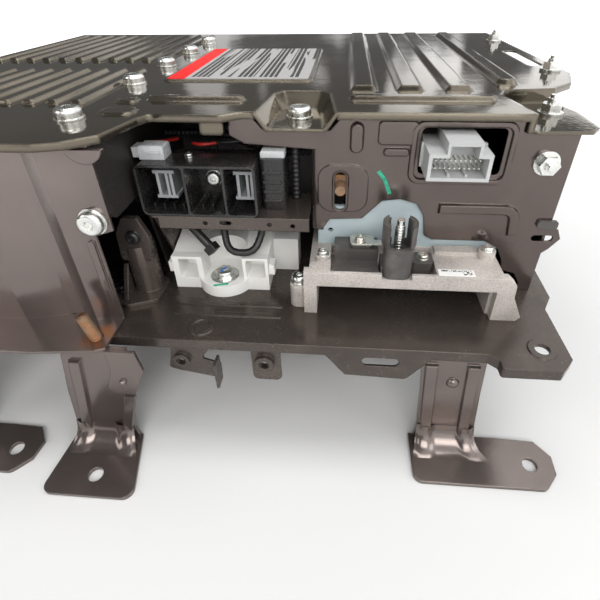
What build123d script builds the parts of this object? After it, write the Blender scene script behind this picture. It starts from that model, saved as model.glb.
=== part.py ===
from build123d import *
import os
from math import pi, tan

os.makedirs("parts", exist_ok=True)

# driving dimensions, mm; x runs left to right, y from front to back, z is up
pack_length = 480        # outside of the cover, end to end
cover_back = 217         # rear edge of the cover
base_top = 88            # upper face of the base plate over the floor
shell_height = 118       # base plate to the flat of the cover
base_sheet = 2.0
wall_sheet = 1.6
cover_sheet = 1.5
leg_sheet = 2.5
panel_y = -106.0         # front face of the connector panel
base_front = -165.8      # front edge of the base plate
cast_front = -137.3      # front face of the cast bridge
flange_drop = 9.0        # the cover's front right corner sits lower
gap = 0.2                # clearance round a loose fit
bolt_head = 7.0          # radius of a dome bolt's head
nut_flange = 7.1         # radius of an M6 flange nut

right_edge = pack_length / 2
left_edge = -right_edge
base_under = base_top - base_sheet
cover_top = base_top + shell_height
cover_under = cover_top - cover_sheet
low_top = cover_top - flange_drop
low_under = low_top - cover_sheet
panel_back = panel_y + wall_sheet
panel_left = 63.5
panel_right = 207.5
end_y = cover_back - 9   # outer face of the rear wall
flange_top = base_top + base_sheet


def save(shape, name):
    shape.part.label = name
    export_step(shape.part, "parts/" + name + ".step")


def dome_bolt(x, y, z, radius, height, plane=Plane.XY):
    """A round-topped head with a hexagonal recess, standing on its washer."""
    washer = height * 0.16
    with BuildPart() as head:
        Cylinder(radius * 1.12, washer, align=(Align.CENTER, Align.CENTER, Align.MIN))
        with Locations((0, 0, washer)):
            Cylinder(radius, height - washer, align=(Align.CENTER, Align.CENTER, Align.MIN))
        fillet(head.edges().sort_by(Axis.Z)[-1:], height * 0.4)
        with BuildSketch(Plane.XY.offset(height)):
            RegularPolygon(radius * 0.42, 6)
        extrude(amount=-height * 0.45, mode=Mode.SUBTRACT)
    return head.part.moved(plane.offset(z).location * Location((x, y, 0)))


def flange_nut(x, y, z, plane, stud_radius, stud_length):
    """A hexagon nut with its own washer, and the stud that passes through it."""
    with BuildPart() as nut:
        Cylinder(nut_flange, 1.6, align=(Align.CENTER, Align.CENTER, Align.MIN))
        with BuildSketch(Plane.XY.offset(1.6)):
            RegularPolygon(nut_flange * 0.82, 6)
        extrude(amount=4.6)
        with BuildSketch(Plane.XY.offset(6.2)):
            Circle(stud_radius)
        extrude(amount=stud_length)
        with BuildSketch(Plane.XY.offset(6.2 + stud_length)):
            Circle(stud_radius * 0.7)
        extrude(amount=2.0)
    return nut.part.moved(plane.offset(z).location * Location((x, y, 0)))


def lead_path(points):
    """Straight runs joined by tangent arcs as round as each corner allows."""
    radii = []
    for a, b, c in zip(points, points[1:], points[2:]):
        first = Vector(*b) - Vector(*a)
        second = Vector(*c) - Vector(*b)
        half = first.get_angle(second) * pi / 360
        radii.append(0.45 * min(first.length, second.length) / tan(half))
    with BuildLine() as path:
        FilletPolyline(*points, radius=radii)
    return path.line


def lead(points, radius):
    path = lead_path(points)
    with BuildPart() as tube:
        with BuildSketch(Plane(origin=path @ 0, z_dir=path % 0)):
            Circle(radius)
        sweep(path=path)
    return tube.part


# ---- base plate, with a turned-down rim and a slotted tab in the rim

rim_depth = 5.0
tongue_front = -175.9
with BuildPart() as base_tray:
    with BuildSketch(Plane.XY.offset(base_top - rim_depth - base_sheet)) as base_outline:
        Polygon(
            (left_edge + 4, base_front), (166, base_front), (171, -170), (171, tongue_front),
            (203, tongue_front), (211, -167), (211.6, -125), (219, -113), (220, -85),
            (220, end_y + 2), (left_edge + 4, end_y + 2), align=None,
        )
        fillet(base_outline.vertices(), 1.8)
    extrude(amount=rim_depth + base_sheet)
    with BuildSketch(Plane.XY.offset(base_top - rim_depth - base_sheet)):
        offset(base_outline.sketch.faces()[0], -wall_sheet)
    extrude(amount=rim_depth, mode=Mode.SUBTRACT)
    with BuildSketch(Plane.XZ.offset(-base_front - wall_sheet)) as slotted_tab:
        Polygon((70, base_under), (85.5, 65), (122, 63.5), (139, base_under), align=None)
        fillet(slotted_tab.vertices().group_by(Axis.Y)[0], 4)
        with Locations((106, 77)):
            SlotOverall(22, 7, mode=Mode.SUBTRACT)
    extrude(amount=wall_sheet)
    with BuildSketch(Plane.XY.offset(base_top)):
        with Locations((10, -132.5), (10, -142.3)):
            SlotOverall(70, 4)
        with Locations((-3, -154)):
            Circle(8)
            Circle(5.4, mode=Mode.SUBTRACT)
    extrude(amount=0.8)
    with BuildSketch(Plane.XY.offset(base_top)):
        with Locations((196.8, -160.4)):
            Circle(8)
    extrude(amount=0.8, taper=20)
    with Locations((196.8, -160.4, base_top + 0.8)):
        Hole(4.25, depth=4)
save(base_tray, "base_tray")


# ---- walls of the shell

wall_top = cover_under
side_x = -42.0
with BuildPart() as left_wall:
    with BuildSketch(Plane.XY.offset(flange_top)):
        front_line = [
            (left_edge + 3, -156), (-114, -156), (-87, -149.8), (-78.6, -150.3),
            (-69.2, -154.2), (-60, -151.6), (side_x, -151.6),
        ]
        rear_line = [(px, py + wall_sheet) for px, py in reversed(front_line)]
        Polygon(*front_line, *rear_line, align=None)
    extrude(amount=wall_top - flange_top)
    with BuildSketch(Plane.XZ.offset(153)):
        Polygon((-53, base_top), (-53, 150), (side_x + 1, 154), (side_x + 1, base_top), align=None)
    extrude(amount=-6, mode=Mode.SUBTRACT)
    with BuildSketch(Plane.XZ.offset(151.6)):
        with Locations((-44, wall_top - 2)):
            Circle(10.5)
        with Locations((-44, wall_top + 4)):
            Rectangle(30, 16, mode=Mode.SUBTRACT)
    extrude(amount=2.0, taper=15)
    with BuildSketch(Plane.XZ.offset(151.6)):
        with Locations((-57, 122)):
            SlotOverall(50, 4, rotation=90)
    extrude(amount=1.4)
    with BuildSketch(Plane.XY.offset(base_top)):
        Polygon((left_edge + 3, -182), (-97, -182.5), (-58, -179), (-52.8, -177), (-53, -150),
                (left_edge + 3, -150), align=None)
        with Locations((-61.6, -169.2)):
            Circle(3.6, mode=Mode.SUBTRACT)
    extrude(amount=base_sheet)
save(left_wall, "left_wall")

recess_back = -32.0
with BuildPart() as recess_side:
    with BuildSketch(Plane.YZ.offset(side_x - wall_sheet)) as side_outline:
        Polygon((-150, 158), (-112, 158), (-98, base_top), (recess_back, base_top),
                (recess_back, wall_top), (-150, wall_top), align=None)
        fillet(side_outline.vertices().group_by(Axis.Y)[1:2], 8)
    extrude(amount=wall_sheet)
save(recess_side, "recess_side")

with BuildPart() as recess_rear:
    with BuildSketch(Plane.XZ.offset(-recess_back - wall_sheet)) as rear_outline:
        with Locations(((side_x + panel_left) / 2 - wall_sheet / 2, (base_top + wall_top) / 2)):
            Rectangle(panel_left - side_x + wall_sheet, wall_top - base_top)
    extrude(amount=wall_sheet)
    with BuildSketch(Plane.XZ.offset(-recess_back)):
        with GridLocations(30, 0, 3, 1):
            with Locations((12, 150)):
                SlotOverall(60, 5, rotation=90)
    extrude(amount=1.2)
save(recess_rear, "recess_rear")

under_pocket = low_under - 0.3
# ---- connector panel: outline, window, stud hole, slot and pressed beads

with BuildPart() as front_panel:
    with BuildSketch(Plane.XZ.offset(-panel_back)) as panel_outline:
        Polygon(
            (panel_left + 5, 131), (73.5, 139), (93.5, 140), (105, 152.5), (115.6, 154), (126, 151),
            (131, 143), (133, 129), (138, 126), (171, 126), (180, 121), (184.5, 112), (186, 104),
            (195, 101.5), (199.5, 94), (200, base_top), (207.5, base_top), (207.5, 118),
            (211, 121.5), (216, 129), (213, 135.5), (207.5, 138), (207.5, low_under),
            (177.3, low_under), (177.3, cover_under), (81, cover_under), (73, under_pocket),
            (35, under_pocket), (27, cover_under), (15.5, cover_under), (15.5, 192), (24, 187),
            (panel_left + 5, 184), align=None,
        )
        fillet(panel_outline.vertices().filter_by_position(Axis.X, 70, 199), 1.2)
        with Locations((146.5, 184)):
            RectangleRounded(46, 27, 3, mode=Mode.SUBTRACT)
        with Locations((79.5, 158)):
            SlotOverall(25, 6.8, rotation=90, mode=Mode.SUBTRACT)
        with Locations((193.5, 181)):
            Circle(4.2, mode=Mode.SUBTRACT)
        with Locations((205, 129)):
            SlotOverall(13, 4.4, mode=Mode.SUBTRACT)
    extrude(amount=wall_sheet)
    with BuildSketch(Plane.XZ.offset(-panel_y)):
        with Locations((146.5, 183)):
            RectangleRounded(57, 37, 7)
            RectangleRounded(50, 30, 4, mode=Mode.SUBTRACT)
    extrude(amount=1.6, taper=20)
    with BuildSketch(Plane.XZ.offset(-panel_y)):
        with BuildLine():
            FilletPolyline((139, 148.5), (184, 148.5), (186, 131), radius=7)
        trace(line_width=6.8)
    extrude(amount=2.0, taper=25)
    with BuildSketch(Plane.XZ.offset(-panel_y)):
        with Locations((88, 191.5)):
            SlotOverall(18, 8, rotation=90)
    extrude(amount=2.4, taper=25)
    with BuildSketch(Plane.XZ.offset(-panel_y)):
        with Locations((110.5, 183.5)):
            SlotOverall(15, 5)
    extrude(amount=1.6, taper=25)
    with BuildSketch(Plane.XZ.offset(-panel_y)):
        with Locations((110.5, 194.5)):
            RectangleRounded(22, 14, 3)
    extrude(amount=1.2, taper=30)
    with BuildSketch(Plane.XZ.offset(-panel_y)) as slot_boss:
        with Locations((81, 160)):
            RectangleRounded(30, 31, 9)
        with Locations((79.5, 158)):
            SlotOverall(27, 9, rotation=90, mode=Mode.SUBTRACT)
    extrude(amount=0.8, taper=30)
    with BuildSketch(Plane.XY.offset(131)):
        with BuildLine():
            FilletPolyline((panel_left + 6, panel_y + 0.8), (panel_left - 0.8, panel_y + 0.8),
                           (panel_left - 0.8, recess_back), radius=4)
        trace(line_width=wall_sheet)
    extrude(amount=under_pocket - 131)
save(front_panel, "front_panel")

with BuildPart() as right_end:
    with BuildSketch(Plane.YZ.offset(panel_right - wall_sheet)):
        Polygon((panel_back, base_top), (end_y - wall_sheet, base_top), (end_y - wall_sheet, cover_under),
                (-49, cover_under), (-49, low_under), (panel_back, low_under), align=None)
    extrude(amount=wall_sheet)
    with BuildSketch(Plane.YZ.offset(panel_right)):
        with GridLocations(50, 0, 5, 1):
            with Locations((70, 145)):
                SlotOverall(80, 12, rotation=90)
    extrude(amount=2.0, taper=25)
save(right_end, "right_end")

with BuildPart() as left_end:
    with BuildSketch(Plane.YZ.offset(left_edge + 4)):
        Polygon((-154.4, flange_top), (-150, flange_top), (-150, base_top), (end_y - wall_sheet, base_top),
                (end_y - wall_sheet, cover_under), (-154.4, cover_under), align=None)
    extrude(amount=wall_sheet)
    with BuildSketch(Plane.YZ.offset(left_edge + 4)):
        with GridLocations(50, 0, 6, 1):
            with Locations((30, 145)):
                SlotOverall(80, 12, rotation=90)
    extrude(amount=-1.5, taper=25)
save(left_end, "left_end")

with BuildPart() as rear_wall:
    with BuildSketch(Plane.XZ.offset(-end_y)):
        with Locations(((left_edge + 4 + panel_right) / 2, (base_top + cover_under) / 2)):
            Rectangle(panel_right - left_edge - 4, cover_under - base_top)
    extrude(amount=wall_sheet)
    with BuildSketch(Plane.XZ.offset(-end_y)):
        with GridLocations(60, 0, 7, 1):
            with Locations((-14, 145)):
                SlotOverall(84, 14, rotation=90)
    extrude(amount=-1.8, taper=25)
save(rear_wall, "rear_wall")

# ---- cover: flat sheet with a turned-down edge, raised beads and a sunk bolt pocket

rib_height = 3.5
edge_drop = 4.0
pocket_floor = low_top
pocket_x = 54.0
with BuildPart() as top_cover:
    with BuildSketch(Plane.XY.offset(cover_top - edge_drop)) as cover_outline:
        Polygon(
            (left_edge, -163), (-62, -163.5), (-49, -160), (-36, -150), (-29, -122), (-25, -115), (14, -116),
            (24, -109), (180, -109), (173, -69), (179, -55), (212, -51), (228, -36),
            (right_edge, -5), (right_edge, cover_back), (left_edge, cover_back), align=None,
        )
        fillet(cover_outline.vertices(), 2.5)
    extrude(amount=edge_drop)
    with BuildSketch(Plane.XY.offset(cover_top - edge_drop)):
        offset(cover_outline.sketch.faces()[0], -cover_sheet)
    extrude(amount=edge_drop - cover_sheet, mode=Mode.SUBTRACT)
    with BuildSketch(Plane.XY.offset(low_under)) as low_corner:
        Polygon((182, -110), (212, -109), (218, -102), (219, -72), (214, -50), (179, -50),
                (172, -67), align=None)
        fillet(low_corner.vertices(), 2)
    extrude(amount=cover_sheet)
    with BuildSketch(Plane.XY.offset(low_under)):
        Polygon((181.5, -108.5), (174.5, -69), (180, -56), (212, -52), (213, -49.5),
                (178.5, -53), (171.5, -69), (178.5, -108.5), align=None)
    extrude(amount=cover_top - low_under)
    # the sunk pocket, open at the front edge
    with BuildSketch(Plane.XY.offset(cover_top)) as pocket_top:
        Polygon((31, -112), (77, -112), (72, -68), (66, -60), (42, -60), (36, -68), align=None)
    extrude(amount=-edge_drop, mode=Mode.SUBTRACT)
    with BuildSketch(Plane.XY.offset(cover_top)):
        Polygon((30, -110), (78, -110), (73, -67), (67, -58.5), (41, -58.5), (35, -67), align=None)
    with BuildSketch(Plane.XY.offset(pocket_floor - cover_sheet)):
        Polygon((37, -110), (71, -110), (68, -72), (64, -67), (44, -67), (40, -72), align=None)
    loft()
    with BuildSketch(Plane.XY.offset(cover_top)):
        Polygon((31.5, -114), (76.5, -114), (71.5, -68), (66, -60), (42, -60), (36.5, -68), align=None)
    with BuildSketch(Plane.XY.offset(pocket_floor)):
        Polygon((38.5, -114), (69.5, -114), (66.5, -73), (63, -68.5), (45, -68.5), (41.5, -73), align=None)
    loft(mode=Mode.SUBTRACT)
    # raised beads: the right field, the two cross beads and the left field
    with BuildSketch(Plane.XY.offset(cover_top)):
        for bead_x in (92, 121, 150.5):
            with Locations((bead_x, 68)):
                RectangleRounded(17, 262, 3)
        with Locations((185.5, 77)):
            RectangleRounded(15, 244, 6)
    extrude(amount=rib_height, taper=38)
    with BuildSketch(Plane.XY.offset(cover_top)):
        with Locations((126, -80)):
            SlotOverall(86, 9)
        with Locations((-8, -84)):
            SlotOverall(60, 8)
    extrude(amount=2.4, taper=35)
    with BuildSketch(Plane.XY.offset(cover_top)):
        with GridLocations(15, 0, 11, 1):
            with Locations((-152, -48)):
                RectangleRounded(9, 98, 2)
            with Locations((-152, 120)):
                RectangleRounded(9, 156, 2)
    extrude(amount=2.4, taper=35)
    with BuildSketch(Plane.XY.offset(cover_top)):
        with Locations((5, 32)):
            RectangleRounded(106, 136, 5)
    extrude(amount=1.2, taper=30)
    with BuildSketch(Plane.XY.offset(cover_top)):
        with Locations((-44, -111)):
            RectangleRounded(20, 13, 5)
        with Locations((-49, -88)):
            RectangleRounded(13, 9, 3)
    extrude(amount=1.2, taper=30)
    with BuildSketch(Plane.XY.offset(cover_top)):
        with Locations((226.5, 57)):
            SlotOverall(72, 11, rotation=90)
    extrude(amount=-cover_sheet, mode=Mode.SUBTRACT)
    with BuildSketch(Plane.XZ.offset(112.6)):
        with Locations((8, cover_top - 6)):
            RectangleRounded(13, 11, 2)
    extrude(amount=cover_sheet)
save(top_cover, "top_cover")

cover_bolt_x = -64.5
with BuildPart() as cover_bolts:
    for bolt_y in (-124, -42, 20, 82, 144):
        add(dome_bolt(cover_bolt_x, bolt_y, cover_top, bolt_head, 6.5))
    add(dome_bolt(pocket_x, -86, pocket_floor, bolt_head, 6.5))
save(cover_bolts, "cover_bolts")

with BuildPart() as cover_studs:
    add(flange_nut(201.5, -76, low_top, Plane.XY, 3, 3))
    add(flange_nut(229, 3, cover_top, Plane.XY, 3, 2))
    add(flange_nut(229, 150, cover_top, Plane.XY, 3, 2))
save(cover_studs, "cover_studs")

with BuildPart() as cover_label:
    with BuildSketch(Plane.XY.offset(cover_top + 1.2)):
        with Locations((5, 32)):
            RectangleRounded(100, 130, 2)
    extrude(amount=0.3)
save(cover_label, "cover_label")

# ---- cast bridge: an open duct on two feet, with a sunk deck for the terminal block

bridge_top = 119.5
duct_roof = 109.7
bridge_left = 59.0
pocket_level = 112.0
with BuildPart() as cast_bridge:
    with BuildSketch(Plane.XZ.offset(-cast_front - 6)) as frame_face:
        Polygon((bridge_left, base_top), (67, base_top), (67, duct_roof), (173.8, duct_roof), (173.8, base_top),
                (189, base_top), (191.5, 91), (184.5, 106), (184, 115), (179.5, bridge_top),
                (bridge_left, bridge_top), align=None)
        fillet(frame_face.vertices().filter_by_position(Axis.X, 174, 200), 1.5)
    extrude(amount=6)
    with BuildSketch(Plane.XZ.offset(-cast_front - 6)):
        Polygon((62, base_top), (67, base_top), (67, duct_roof), (172, duct_roof), (172, base_top),
                (177, base_top), (177, bridge_top), (62, bridge_top), align=None)
    extrude(amount=-92)
    with BuildSketch(Plane.XY.offset(bridge_top)):
        with Locations((106.5, -120)):
            Rectangle(63, 29)
    extrude(amount=pocket_level - bridge_top, mode=Mode.SUBTRACT)
    with BuildSketch(Plane.XY.offset(bridge_top)):
        with Locations((114.5, -136)):
            Rectangle(17.5, 6)
    extrude(amount=-3.2, mode=Mode.SUBTRACT)
    with BuildSketch(Plane.XY.offset(pocket_level)):
        with Locations((70, -121)):
            Circle(4.8)
    extrude(amount=10.5)
    with BuildSketch(Plane.XY.offset(bridge_top)):
        with Locations((171, -114)):
            Circle(5.2)
    extrude(amount=5)
    with BuildSketch(Plane.XY.offset(bridge_top)):
        with Locations((153, -110)):
            Rectangle(27, 8)
    extrude(amount=2.4)
    with BuildSketch(Plane.XY.offset(base_top)) as side_lug:
        with Locations((56, -126)):
            RectangleRounded(13, 13, 5)
    extrude(amount=16)
    for fin_x in (80, 92, 104, 116, 128, 140, 152, 164):
        with BuildSketch(Plane.XY.offset(duct_roof)):
            with Locations((fin_x, -80)):
                Rectangle(2.4, 70)
        extrude(amount=-7)
save(cast_bridge, "cast_bridge")

with BuildPart() as bridge_bolt:
    add(dome_bolt(55.2, -125, base_top + 16, 5.2, 5))
save(bridge_bolt, "bridge_bolt")

with BuildPart() as insulating_plate:
    with BuildSketch(Plane.XZ.offset(101)) as pale_outline:
        Polygon((66, bridge_top), (184, bridge_top), (184, 140), (140, 156), (104, 156), (96, 147), (66, 147),
                align=None)
        with Locations((74, 130)):
            Circle(1.6, mode=Mode.SUBTRACT)
    extrude(amount=3.2)
save(insulating_plate, "insulating_plate")

with BuildPart() as converter_screws:
    for screw_x, screw_y, screw_z in ((70, -121, 122.5), (171, -114, bridge_top + 5)):
        add(dome_bolt(screw_x, screw_y, screw_z, 3.4, 3))
save(converter_screws, "converter_screws")

with BuildPart() as terminal_block:
    with BuildSketch(Plane.XY.offset(pocket_level)):
        with Locations((90.5, -120)):
            Rectangle(27, 28)
    extrude(amount=6)
    with BuildSketch(Plane.XY.offset(pocket_level + 6)):
        with Locations((90.5, -113.5)):
            Rectangle(27, 15)
    extrude(amount=8)
    with BuildSketch(Plane.XY.offset(pocket_level + 14)):
        with Locations((93.5, -113.5)):
            RectangleRounded(13, 10, 2)
    extrude(amount=2)
    fillet(terminal_block.edges().filter_by(Axis.X).sort_by(Axis.Z)[-1:], 0.8)
save(terminal_block, "terminal_block")

stud_x = 114.5
stud_y = -127.5
with BuildPart() as stud_collar:
    with BuildSketch(Plane.XY.offset(bridge_top - 3.2 + gap)) as collar_outline:
        with Locations((stud_x, -129.2)):
            RectangleRounded(16.8, 15.6, 5)
    extrude(amount=20)
    with BuildSketch(Plane.XY.offset(pocket_level)):
        with Locations((114, -125)):
            Rectangle(18, 14)
        with Locations((130, -121)):
            RectangleRounded(14, 12, 4)
    extrude(amount=10)
    with BuildSketch(Plane.XY.offset(bridge_top + 17)) as wings:
        with Locations((stud_x, -127.5)):
            Circle(10)
            Circle(7, mode=Mode.SUBTRACT)
            with Locations((0, -8), (0, 9)):
                Rectangle(12, 8, mode=Mode.SUBTRACT)
    extrude(amount=14)
    with BuildSketch(Plane.XY.offset(bridge_top + 17)):
        with Locations((stud_x, stud_y)):
            Circle(7)
    extrude(amount=-5, mode=Mode.SUBTRACT)
    with BuildSketch(Plane.XY.offset(bridge_top + 12)):
        with Locations((stud_x, stud_y)):
            Circle(3)
    extrude(amount=-12, mode=Mode.SUBTRACT)
save(stud_collar, "stud_collar")

with BuildPart() as output_stud:
    with BuildSketch(Plane.XY.offset(bridge_top)):
        with Locations((stud_x, stud_y)):
            Circle(2.6)
    extrude(amount=29)
    with BuildSketch(Plane.XY.offset(bridge_top + 29)):
        with Locations((stud_x, stud_y)):
            Circle(2.2)
    extrude(amount=3.5)
    for ring in range(8):
        with BuildSketch(Plane.XY.offset(bridge_top + 14 + ring * 1.8)):
            with Locations((stud_x, stud_y)):
                Circle(3)
        extrude(amount=0.9)
save(output_stud, "output_stud")

with BuildPart() as busbar_clip:
    with BuildSketch(Plane.XY.offset(pocket_level + 16)):
        with Locations((94, -113.5)):
            RectangleRounded(15, 11, 2)
        with Locations((103, -116)):
            Rectangle(7, 5)
    extrude(amount=1.2)
    add(dome_bolt(93, -113.5, pocket_level + 17.2, 3.4, 2.6))
    add(dome_bolt(131, -121, pocket_level + 10, 3.2, 3))
save(busbar_clip, "busbar_clip")

with BuildPart() as converter_sticker:
    with BuildSketch(Plane.XY.offset(bridge_top)):
        with Locations((149.5, -132.5)):
            Rectangle(21, 6.5)
    extrude(amount=0.3)
save(converter_sticker, "converter_sticker")

# ---- socket box on its bracket, in the open recess

box_front = -123.5
box_floor = 148.0
box_top = 180.0
with BuildPart() as socket_box:
    with BuildSketch(Plane.XZ.offset(-box_front)) as box_face:
        with Locations((-3, (box_floor + box_top) / 2)):
            RectangleRounded(70, box_top - box_floor, 4)
    extrude(amount=-35)
    for cell_left, cell_right in ((-36.5, -10), (-8.5, 12.5), (14, 30.5)):
        with BuildSketch(Plane.XZ.offset(-box_front)):
            with Locations(((cell_left + cell_right) / 2, (box_floor + box_top) / 2)):
                RectangleRounded(cell_right - cell_left, box_top - box_floor - 3, 1.5)
        extrude(amount=-24, mode=Mode.SUBTRACT)
    for rib_x in (-33, -27, -21, -15, -3, 3, 9):
        with BuildSketch(Plane.XY.offset(box_floor + 1.5)):
            with Locations((rib_x, box_front + 15)):
                Rectangle(1.2, 16)
        extrude(amount=3)
    with BuildSketch(Plane.XY.offset(box_top)):
        with Locations((-3, box_front + 30)):
            Rectangle(72, 20)
    extrude(amount=-3, mode=Mode.SUBTRACT)
save(socket_box, "socket_box")

with BuildPart() as socket_inserts:
    for insert_x in (-25, 23.5):
        with BuildSketch(Plane.XZ.offset(-box_front - 10)):
            with Locations((insert_x, 164)):
                Rectangle(10, 18)
                Rectangle(6.4, 14, mode=Mode.SUBTRACT)
            with Locations((insert_x, 156), (insert_x, 172)):
                Rectangle(13, 2)
            with Locations((insert_x + 1.4, 164)):
                Rectangle(1.6, 18)
        extrude(amount=-14)
save(socket_inserts, "socket_inserts")

with BuildPart() as socket_screws:
    add(dome_bolt(1, 163, -box_front - 24, 4.6, 4, Plane.XZ))
    add(dome_bolt(-9, box_front + 14, box_top, 2.4, 2.6))
save(socket_screws, "socket_screws")

with BuildPart() as relay_housing:
    with BuildSketch(Plane.XY.offset(148)) as relay_outline:
        with Locations((39.5 + gap, -100)):
            RectangleRounded(15, 24, 3)
    extrude(amount=box_top - 148)
    with BuildSketch(Plane.XZ.offset(112)):
        with GridLocations(0, 6, 1, 4):
            with Locations((39.5, 163)):
                Rectangle(11, 2)
    extrude(amount=0.8)
save(relay_housing, "relay_housing")

with BuildPart() as socket_bracket:
    with BuildSketch(Plane.XY.offset(146.5)):
        with Locations((14.1, -105.75)):
            Rectangle(95.2, 35.5)
    extrude(amount=1.5)
    with BuildSketch(Plane.XZ.offset(-box_front - wall_sheet)) as lip_outline:
        with Locations((16, 143.7)):
            Rectangle(92 - 2 * gap, 8.6)
        with Locations((11.5, 144)):
            SlotOverall(7, 2.6, mode=Mode.SUBTRACT)
        with Locations((-1, 143.6), (38, 143.6), (52, 143)):
            Circle(1.4, mode=Mode.SUBTRACT)
    extrude(amount=wall_sheet)
    with BuildSketch(Plane.YZ.offset(-33.5)):
        Polygon((-122, 147.5), (-90, 147.5), (-80, base_top), (-96, base_top), align=None)
    extrude(amount=wall_sheet)
save(socket_bracket, "socket_bracket")

with BuildPart() as silver_connector:
    with BuildSketch(Plane.XY.offset(box_top)) as silver_outline:
        with Locations((-29, -109.5)):
            Rectangle(15, 11)
    extrude(amount=8)
    chamfer(silver_connector.edges().group_by(Axis.Z)[-1], 1)
    with BuildSketch(Plane.YZ.offset(-36.5)):
        with Locations((-109.5, box_top + 4)):
            Rectangle(9, 6)
    extrude(amount=-4)
    with BuildSketch(Plane.XZ.offset(115)):
        with Locations((-28, box_top + 4.5)):
            Rectangle(9, 1.4)
    extrude(amount=0.8)
save(silver_connector, "silver_connector")

with BuildPart() as grey_plug:
    with BuildSketch(Plane.XY.offset(box_top)):
        with Locations((40, -105)):
            Rectangle(14, 9)
    extrude(amount=4)
    chamfer(grey_plug.edges().group_by(Axis.Z)[-1], 0.8)
save(grey_plug, "grey_plug")

with BuildPart() as conduits:
    add(lead([(side_x + 0.3, -70, 190), (-20, -70, 190), (20, -84, 186), (40, -70, 190), (61.6, -70, 190)], 3))
    add(lead([(61.6, -95, 189), (51.6, -95, 189), (51.6, -95, 148.2)], 3.4))
    add(lead([(side_x + 0.3, -60, 178), (0, -60, 178), (30, -76, 172), (61.6, -76, 172)], 4))
save(conduits, "conduits")

# ---- two-port connector with its round lug, and the leads in front of it

port_front = -116.5
port_top = 113.5
port_back = -88.5
with BuildPart() as two_port_connector:
    for port_left, port_right in ((-31, -10.5), (16.5, 33.5)):
        with BuildSketch(Plane.YZ.offset(port_left)):
            Polygon((port_front, base_top), (port_front, port_top), (port_front + 6, port_top),
                    (port_back, 119), (-78, 119), (-78, base_top), align=None)
        extrude(amount=port_right - port_left)
    with BuildSketch(Plane.XY.offset(base_top)):
        with Locations((2.5, -93)):
            Rectangle(40, 30)
    extrude(amount=8.6)
    with BuildSketch(Plane.XY.offset(base_top)):
        with Locations((2.5, -107)):
            Circle(18.8)
    extrude(amount=8.6)
    with BuildSketch(Plane.XY.offset(base_top + 8.6)) as well_wall:
        with Locations((3, -98)):
            Rectangle(30, 40)
        with Locations((3, -108)):
            Circle(15.2, mode=Mode.SUBTRACT)
        with Locations((3, -125)):
            Rectangle(30.4, 34, mode=Mode.SUBTRACT)
    extrude(amount=20)
    with BuildSketch(Plane.XZ.offset(-port_front)):
        with Locations((-20.5, 104)):
            RectangleRounded(12.5, 15, 1.5)
        with Locations((25, 105)):
            RectangleRounded(12.8, 13.4, 1.5)
    extrude(amount=-16, mode=Mode.SUBTRACT)
    with BuildSketch(Plane.XZ.offset(-port_front - 3)):
        with Locations((-33, 103), (35.2, 103)):
            Rectangle(4, 8)
    extrude(amount=-8)
    with BuildSketch(Plane.XY.offset(base_top)):
        with Locations((42, -84)):
            Rectangle(18, 16)
    extrude(amount=26)
    with BuildSketch(Plane.XY.offset(base_top + 8.6)):
        with Locations((2.5, -112)):
            Circle(9.6)
    extrude(amount=-1.4, mode=Mode.SUBTRACT)
save(two_port_connector, "two_port_connector")

with BuildPart() as port_bolt:
    with BuildSketch(Plane.XY.offset(base_top + 7.2)):
        with Locations((2.5, -112)):
            Circle(9)
    extrude(amount=1.6)
    add(dome_bolt(2.5, -112, base_top + 8.8, 6, 4.6))
save(port_bolt, "port_bolt")

cable_radius = 2.4
with BuildPart() as cable_loop:
    add(lead([(5, -108, 146.3), (5, -108, 132), (9, -118, 119.2), (26, -118, 119.2),
                   (31, -108, 132), (31, -108, 146.3)], cable_radius))
save(cable_loop, "cable_loop")

with BuildPart() as plug_lead:
    add(lead([(-20, -106, 146.3), (-20, -106, 135), (-5, -112, 120)], 2.8))
    with BuildSketch(Plane(origin=(-5, -112, 120), z_dir=(11, -6, -10))):
        RectangleRounded(8, 7, 1)
    extrude(amount=5)
save(plug_lead, "plug_lead")

# ---- dark stamped bracket at the left of the recess

with BuildPart() as side_bracket:
    with BuildSketch(Plane.XY.offset(base_top)) as foot_outline:
        Polygon((-77, -134), (-56, -141), (-38, -134), (-37, -112), (-48, -105), (-70, -112), align=None)
        fillet(foot_outline.vertices(), 3)
    extrude(amount=3)
    with BuildSketch(Plane.XY.offset(base_top)):
        with Locations((-49, -118)):
            Circle(9.5)
    extrude(amount=38)
    with BuildSketch(Plane.XZ.offset(126)) as arm_outline:
        Polygon((-59, 116), (-39, 116), (-37, 134), (-42, 147), (-52, 147), (-58, 136), align=None)
        fillet(arm_outline.vertices(), 2)
    extrude(amount=-4)
    with BuildSketch(Plane.YZ.offset(-60)):
        Polygon((-136, 91), (-124, 91), (-124, 112), align=None)
    extrude(amount=3)
save(side_bracket, "side_bracket")

with BuildPart() as bracket_bolts:
    add(dome_bolt(-66.5, -125, base_top + 3, 4.4, 4.4))
    add(dome_bolt(-47, 134, 126, 4.2, 3.4, Plane.XZ))
save(bracket_bolts, "bracket_bolts")

# ---- grey signal connector in the panel window

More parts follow.
